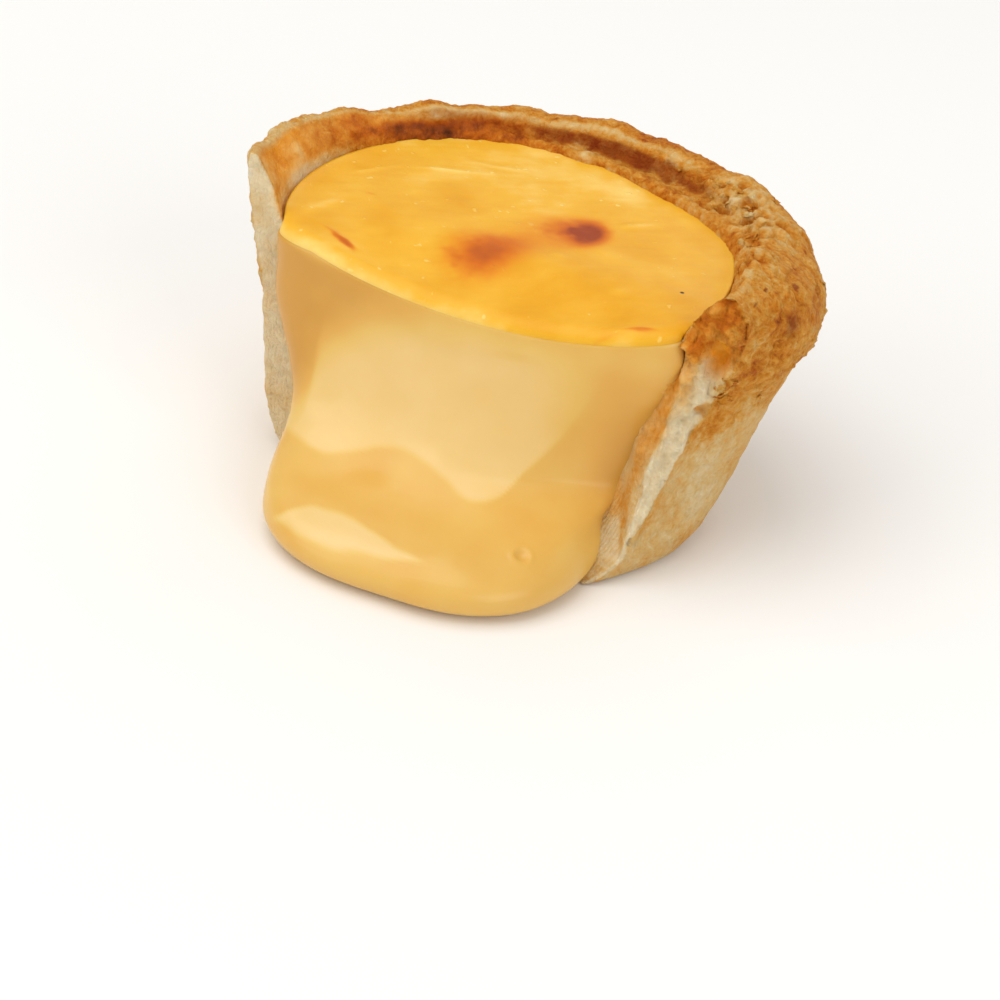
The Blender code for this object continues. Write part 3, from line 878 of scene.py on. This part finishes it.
def flakeFinish():
    finish = Finish("flakyPastry")
    where = finish.place()
    toast, dark, soaked = (finish.painted(name) for name in ("toast", "dark", "soaked"))
    grain, fleck, blotch = pastryGrain(finish, where)
    color = pastryColor(finish, toast, dark, soaked, fleck, grain, blotch)
    normal = finish.bump(fleck + grain * 0.7, 1.0, 0.0007)
    return finish.shade({"Subsurface Weight": 0.15, "Subsurface Radius": (1.0, 0.45, 0.18),
                         "Subsurface Scale": 0.001, "Specular IOR Level": 0.15},
                        {"Base Color": color, "Normal": normal, "Roughness": 0.6 - soaked * 0.3})


custard = {
    "flow": (  # height, reach in front of the cut, half width and shift to the right, in mm
        (0.0, 22.3, 18.0, 0.6), (0.9, 24.7, 20.2, 0.6), (2.4, 25.7, 21.0, 0.4), (4.0, 25.4, 20.9, 0.2),
        (5.6, 23.6, 20.6, -0.1), (6.8, 20.0, 20.7, -0.1), (7.9, 15.4, 21.2, 0.2), (9.3, 11.2, 21.8, 0.5),
        (11.6, 8.3, 22.2, 0.5), (14.6, 6.6, 23.2, 0.5), (18.4, 5.7, 24.2, 0.0), (23.0, 5.3, 25.5, -0.1),
        (27.5, 5.35, 25.9, 0.2), (30.7, 5.35, 25.8, -0.1), (31.2, 5.0, 25.5, 0.0)),
    "squareness": 2.9,
    "topRightSquareness": 2.15,
    "middleRightSquareness": 1.2,
    "around": 270,
    "frontShare": 0.72,
    "rows": 130,
    "unevenness": (9.0, 0.22),
    # the painted reflection on the face, a pale sheet: x against height less distance forward at its foot, and x
    # against height on top
    "reflectionFoot": ((-22, -7.0), (-18.6, -9.8), (-13.3, -12.2), (-7, -8.7), (-3, -7.6), (1.7, -10.4), (6.3, -12.5),
                 (8.9, -10.8), (10.8, -4.2), (15.8, 6.5), (19.4, 13.9), (24, 20)),
    "reflectionTop": ((-22, 9), (-18.5, 13.7), (-16.8, 19.8), (-10.2, 25.4), (-5, 27.4), (0, 28.4), (24, 29.0)),
    # the painted highlight on the lip, a pale crescent: its upper and lower edges in the same way
    "lipHighlightTop": ((-18, -29.5), (-14.6, -26.6), (-12, -23.9), (-7, -23.2), (-1, -25.2), (3.2, -26.4), (8, -28.5)),
    "lipHighlightFoot": ((-18, -27.0), (-14.6, -27.2), (-10, -28.8), (-4, -29.1), (3.2, -27.4), (8, -26.0)),
    "dimple": (14.6, 26.0, 0.75, 0.45),  # x, distance in front of the axis, radius and depth in mm
    "sag": (2.6, 2.5, 22.5, 1.0, 14.0),  # depth, middle, half width, start and length forward
    "skinCells": 190,
    "skinThickness": 1.2,
    "edgeRound": 2.2,
    "edgeDrop": 1.5,
    "flowColors": ((0.0, "CD953A"), (0.3, "DEAB50"), (0.5, "E3BC64"), (0.8, "EAC884"), (1.0, "F1D496")),
    "skinColors": ((0.0, "D99312"), (0.4, "E6A51E"), (0.7, "EEB433"), (1.0, "F6D070")),
    "brownColors": ((0.0, "EAA826"), (0.3, "E48C16"), (0.6, "D06A0C"), (0.85, "B0501A"), (1.0, "9C421E")),
}


def custardSag(x, y):
    # how far the top sinks where it leans out over the cut; x and y in mm from the axis
    depth, middle, half, start, length = custard["sag"]
    forward = smooth((-y - start) / length)
    across = np.clip(1.0 - ((x - middle) / half) ** 2, 0.0, 1.0)
    return depth * forward * across


def outlinePoint(turn, height, reach, half, shift):
    # one point of a level outline in mm: turn 0 to 1 runs round the front, 1 to 2 round the back
    cut = cutBack / mm
    front = np.pi * np.clip(turn, 0, 1)
    rightSide = np.cos(front) > 0
    middle = smooth(height, 3.5, 10.5) * rightSide
    top = smooth(height, 13.0, 31.0) * rightSide
    square = custard["squareness"] + (custard["middleRightSquareness"] - custard["squareness"]) * middle
    power = 2.0 / (square + (custard["topRightSquareness"] - square) * top)
    side = np.sign(np.cos(front)) * np.abs(np.cos(front)) ** power
    forward = np.abs(np.sin(front)) ** power
    sunk = 0.6 * middle * (1 - top) * (1 - forward) ** 2  # the thin edge ends just inside the pastry
    frontX, frontY = shift + half * side, -cut - reach * forward + sunk
    inside = np.maximum(innerRadius(height) + 0.25, 17.0)
    end = np.arcsin(cut / inside)
    sweep = np.pi + 2 * end
    back = np.pi + end - sweep * np.clip(turn - 1, 0, 1)
    backX, backY = inside * np.cos(back), inside * np.sin(back)
    isBack = turn > 1
    return np.where(isBack, backX, frontX), np.where(isBack, backY, frontY)


def readAcross(name, x):
    # a value given at a few places across the custard, read smoothly between them
    line = smoothThrough(custard[name], 8)
    return np.interp(x, line[:, 0], line[:, 1])


def makeFlow():
    # a ball whose rows become the level outlines of the custard
    bpy.ops.object.select_all(action="DESELECT")
    bpy.ops.mesh.primitive_uv_sphere_add(segments=custard["around"], ring_count=custard["rows"], radius=0.01,
                                         location=(0, 0, 0))
    flow = bpy.context.object
    points = readPoints(flow)
    up = np.degrees(np.arccos(np.clip(-points[:, 2] / 0.01, -1, 1))) / 180.0  # 0 at the foot, 1 on top
    sweep = (np.degrees(np.arctan2(points[:, 1], points[:, 0])) % 360.0) / 360.0
    share = custard["frontShare"]
    turn = np.where(sweep < share, 1 - sweep / share, 1 + (1 - sweep) / (1 - share))
    section = smoothThrough(custard["flow"], 12)
    foot, top = 0.08, 0.86
    row = np.clip((up - foot) / (top - foot), 0, 1)
    lengths = np.concatenate([[0], np.cumsum(np.hypot(np.diff(section[:, 0]), np.diff(section[:, 1])))])
    lengths /= lengths[-1]
    height, reach, half, shift = (np.interp(row, lengths, section[:, k]) for k in range(4))
    x, y = outlinePoint(turn, height, reach, half, shift)
    closing = np.where(up < foot, up / foot, np.where(up > top, (1 - up) / (1 - top), 1.0))
    middleX, middleY = 1.0, np.where(up < foot, -18.0, 2.0)
    x = middleX + (x - middleX) * closing
    y = middleY + (y - middleY) * closing
    z = height - smooth(height, 20.0, 30.7) * custardSag(x, y)
    writePoints(flow, np.stack([axisX + x * mm, axisY + y * mm, z * mm], axis=1))
    editMode(flow)
    bpy.ops.mesh.select_all(action="SELECT")
    bpy.ops.mesh.normals_make_consistent(inside=False)
    objectMode()
    points, normals = readPoints(flow), readNormals(flow)
    front = smooth(-y, cutBack / mm + 0.3, cutBack / mm + 2.5) * smooth(z, 0.4, 2.0) * (1 - smooth(height, 26, 29))
    size, depth = custard["unevenness"]
    move = front * depth * crumbs(points, size * mm, 61, 2)
    dimpleX, dimpleY, dimpleRadius, dimpleDepth = custard["dimple"]
    away = np.hypot(x - dimpleX, y + dimpleY) / dimpleRadius
    move -= dimpleDepth * (np.exp(-away ** 2) - 0.35 * np.exp(-((away - 1.5) / 0.5) ** 2)) * smooth(z, 3, 4)
    writePoints(flow, points + normals * (move * mm)[:, None])
    # painted reflection where the sheet hangs smooth and painted highlight on the lip; deeper under the top's edge,
    # partly a more set custard and partly painted shade, and down both sides
    wavy = 0.5 * crumbs(points, 4 * mm, 64, 2)
    slope = z + y + wavy
    rise = readAcross("reflectionTop", x)
    # painted reflection: pale where the sheet hangs smooth, between its foot and its top
    sheetReflection = smooth(slope - readAcross("reflectionFoot", x), -0.8, 1.0) * (1 - smooth(z - rise, -5.5, 1.2))
    sheetReflection *= 1 - smooth(x, 9, 19) * smooth(z, 10, 16)
    # painted highlight: the pale crescent on the lip
    lip = smooth(readAcross("lipHighlightTop", x) - slope, -0.9, 0.5) * smooth(slope - readAcross("lipHighlightFoot", x), -0.6, 0.9)
    tone = 0.38 + 0.36 * sheetReflection + 0.42 * lip + 0.05 * crumbs(points, 5 * mm, 66, 2)
    # deeper under the top's edge: partly a more set custard, partly painted shade
    tone -= 0.30 * smooth(z, rise - 2, rise + 6) * (1 - smooth(z, 29.5, 31.5))
    tone -= 0.34 * (1 - smooth(x, -26, -17)) * smooth(z, 3, 14)
    tone -= 0.16 * smooth(x, 15, 21) * smooth(z, 6, 11) * (1 - smooth(z, 24, 29))
    paintPoints(flow, "tone", tone)
    settle(flow, "softCustard")
    print("soft custard:", len(flow.data.polygons), "faces")
    return flow


def flowFinish():
    finish = Finish("softCustardFinish")
    where = finish.place()
    cloudy = finish.noise(where, 160.0, detail=3.0)
    fine = finish.noise(where, 700.0, detail=3.0)
    tone = (finish.painted("tone") + (cloudy - 0.5) * 0.10 + (fine - 0.5) * 0.04).held()
    normal = finish.bump(cloudy + fine * 0.15, 0.25, 0.0003)
    return finish.shade({"Subsurface Weight": 0.2, "Subsurface Radius": (1.0, 0.6, 0.25),
                         "Subsurface Scale": 0.002, "Specular IOR Level": 0.3,
                         "Coat Weight": 0.2, "Coat Roughness": 0.14},
                        {"Base Color": finish.ramp(tone, custard["flowColors"]), "Normal": normal,
                         "Roughness": 0.30 + fine * 0.08})


browned = {
    # spots on the top: x and y from the axis, half sizes in mm, turn in degrees, strength
    "softSpot": (-2.2, -5.2, 4.4, 5.0, 10, 0.62),
    "softSpotTail": (0.8, -1.6, 3.6, 3.0, 40, 0.22),
    "darkSpot": (7.8, 7.2, 2.2, 3.0, 0, 1.0),
    "darkHalo": (5.2, 6.4, 5.2, 4.4, 10, 0.42),
    "middleBand": (2.6, 1.5, 6.5, 5.5, 50, 0.16),
    "foldLine": (-18.2, -10.4, 3.2, 0.45, -16, 0.42),
    "foldBrown": (-16.6, -11.4, 1.5, 0.6, -22, 0.55),
    "streak": (20.8, -11.6, 2.2, 0.4, 12, 0.50),
    "streakTail": (17.4, -13.4, 2.4, 0.3, 22, 0.25),
    "smallMark": (-19.0, 1.3, 1.1, 0.35, -10, 0.34),
    "rightBand": (13.0, -8.0, 9.0, 3.0, 25, 0.12),
}
glints = ((12.6, 12.4, 2.6, 0.8, 40, 0.8), (-21.4, 8.0, 3.0, 0.5, 52, 0.6), (-13.4, 13.0, 4.0, 0.5, 22, 0.6),
          (-22.5, -4.0, 3.5, 0.9, 70, 0.5), (6.6, -0.6, 0.9, 0.7, 0, 0.5), (15.9, -5.0, 1.0, 0.8, 0, 0.5),
          (-8.0, 18.0, 3.5, 0.5, 12, 0.45), (19.5, -12.5, 3.2, 1.0, 35, 0.5))


def spotShare(x, y, spot, sharp=1.0):
    middleX, middleY, halfLong, halfWide, turn, strength = spot
    c, s = math.cos(math.radians(turn)), math.sin(math.radians(turn))
    along, across = (x - middleX) * c + (y - middleY) * s, (y - middleY) * c - (x - middleX) * s
    return strength * np.exp(-((along / halfLong) ** 2 + (across / halfWide) ** 2) ** sharp)


def makeSkin():
    # a grid stretched to the custard's outline, rounded down at its front edge
    bpy.ops.object.select_all(action="DESELECT")
    cells = custard["skinCells"]
    bpy.ops.mesh.primitive_grid_add(x_subdivisions=cells, y_subdivisions=cells, size=2.0, location=(0, 0, 0))
    skin = bpy.context.object
    points = readPoints(skin)
    a, b = points[:, 0], points[:, 1]
    u, v = a * np.sqrt(1 - b * b / 2), b * np.sqrt(1 - a * a / 2)
    cut, radius = cutBack / mm, custardRadius / mm
    turn = np.linspace(0, 2, 721)
    edgeX, edgeY = outlinePoint(turn, np.full(721, 32.0), 5.2, math.sqrt(radius ** 2 - cut ** 2) - 0.1, -0.1)
    onBack = radius / np.hypot(edgeX, edgeY)
    edgeX, edgeY = np.where(turn > 1, edgeX * onBack, edgeX), np.where(turn > 1, edgeY * onBack, edgeY)
    middleX, middleY = 0.0, 4.0
    direction = np.arctan2(edgeY - middleY, edgeX - middleX)
    reach = np.hypot(edgeX - middleX, edgeY - middleY)
    order = np.argsort(direction)
    far = np.interp(np.arctan2(v, u), direction[order], reach[order], period=2 * np.pi)
    x, y = middleX + u * far, middleY + v * far
    toEdge = (1 - np.hypot(u, v)) * far
    z = level / mm - custardSag(x, y)
    inFront = smooth(-y, cut - 2.5, cut + 2.0)
    t = np.clip(1 - toEdge / custard["edgeRound"], 0, 1)
    z -= inFront * custard["edgeDrop"] * (1 - np.sqrt(1 - t * t))
    place = np.stack([x, y, z], axis=1) * mm
    z += (1 - inFront) * 0.35 * np.exp(-toEdge / 0.9)
    z += smooth(toEdge, 0.0, 2.0) * (0.16 * lumps(place, 9 * mm, 71) + 0.05 * crumbs(place, 3 * mm, 72, 2))
    for glint in glints:
        z += 0.22 * spotShare(x, y, glint)
    z += 0.22 * spotShare(x, y, browned["foldLine"]) - 0.12 * spotShare(x, y, browned["darkSpot"])
    z += 0.15 * spotShare(x, y, browned["streak"])
    writePoints(skin, np.stack([axisX + x * mm, axisY + y * mm, z * mm], axis=1))
    ragged = 0.5 * lumps(place, 1.6 * mm, 75) + 0.35 * lumps(place, 0.8 * mm, 76)
    brown = np.zeros(len(x))
    for name, spot in browned.items():
        soft = spotShare(x + 0.5 * ragged, y + 0.5 * ragged, spot)
        brown = brown + soft * (1 + 0.25 * ragged * (name != "middleBand"))
    paintPoints(skin, "brown", brown)
    gentle = crumbs(place, 6 * mm, 78, 3)
    tone = 0.56 + 0.16 * gentle + 0.20 * smooth(y, 6, 20) - 0.16 * smooth(x, -12, 12) * smooth(-y, -8, 6)
    for glint in glints:
        tone += 0.40 * spotShare(x, y, glint)
    # paler along the front edge: partly the pale custard it runs into, partly a painted highlight on the rounded edge,
    # stronger on the left
    tone += inFront * 0.42 * np.exp(-toEdge / 1.0) * (1 - 0.5 * smooth(x, 0, 12))
    paintPoints(skin, "tone", tone)
    editMode(skin)
    bpy.ops.mesh.select_all(action="SELECT")
    bpy.ops.mesh.extrude_region_move(TRANSFORM_OT_translate={"value": (0, 0, -custard["skinThickness"] * mm)})
    bpy.ops.mesh.select_all(action="SELECT")
    bpy.ops.mesh.normals_make_consistent(inside=False)
    objectMode()
    settle(skin, "setCustard")
    print("set custard:", len(skin.data.polygons), "faces")
    return skin


def skinFinish():
    finish = Finish("setCustardFinish")
    where = finish.place()
    cloudy = finish.noise(where, 130.0, detail=4.0, rough=0.6)
    fine = finish.noise(where, 900.0, detail=4.0)
    drawn = finish.noise(finish.place(turn=(0, 0, 0.5), scale=(5.0, 1.0, 1.0)), 700.0, detail=4.0, warp=0.4)
    # pale dots: tiny bubbles, raised by the bump, with painted glints that lighten the colour
    dots = finish.band(finish.noise(where, 750.0, detail=1.0), 0.70, 0.78)
    tone = (finish.painted("tone") + (cloudy - 0.5) * 0.34 + (fine - 0.5) * 0.12 + (drawn - 0.5) * 0.24
            + dots * 0.30).held()
    brown = (finish.painted("brown") * (0.9 + fine * 0.2)).held()
    toasted = finish.ramp(brown, custard["brownColors"])
    color = finish.blend(finish.band(brown, 0.04, 0.5), finish.ramp(tone, custard["skinColors"]), toasted)
    speckAt = (axisX + 22.6 * mm, axisY - 1.7 * mm, level)
    away = finish.node("ShaderNodeVectorMath", {"operation": "DISTANCE"}, {0: where, 1: speckAt}, out=1)
    color = finish.blend(1 - finish.band(away, 0.0002, 0.00036), color, tint("2A1A10"))
    normal = finish.bump(cloudy * 0.8 + fine * 0.2 + drawn * 0.35 + dots * 0.5, 0.4, 0.0003)
    return finish.shade({"Subsurface Weight": 0.15, "Subsurface Radius": (1.0, 0.5, 0.15),
                         "Subsurface Scale": 0.0015, "Specular IOR Level": 0.2},
                        {"Base Color": color, "Normal": normal, "Roughness": 0.36 + brown * 0.2})


makeCamera()
makeStudio()
crust, crustZone = makeCrust()
dress(crust, crustFinish(), "baked_pastry", "pastry_crust")
leaves = layFlakes(crust, crustZone)
dress(leaves, flakeFinish(), "baked_pastry")
flow = makeFlow()
dress(flow, flowFinish(), "soft_custard", "custard_filling")
skin = makeSkin()
dress(skin, skinFinish(), "set_custard", "custard_top")
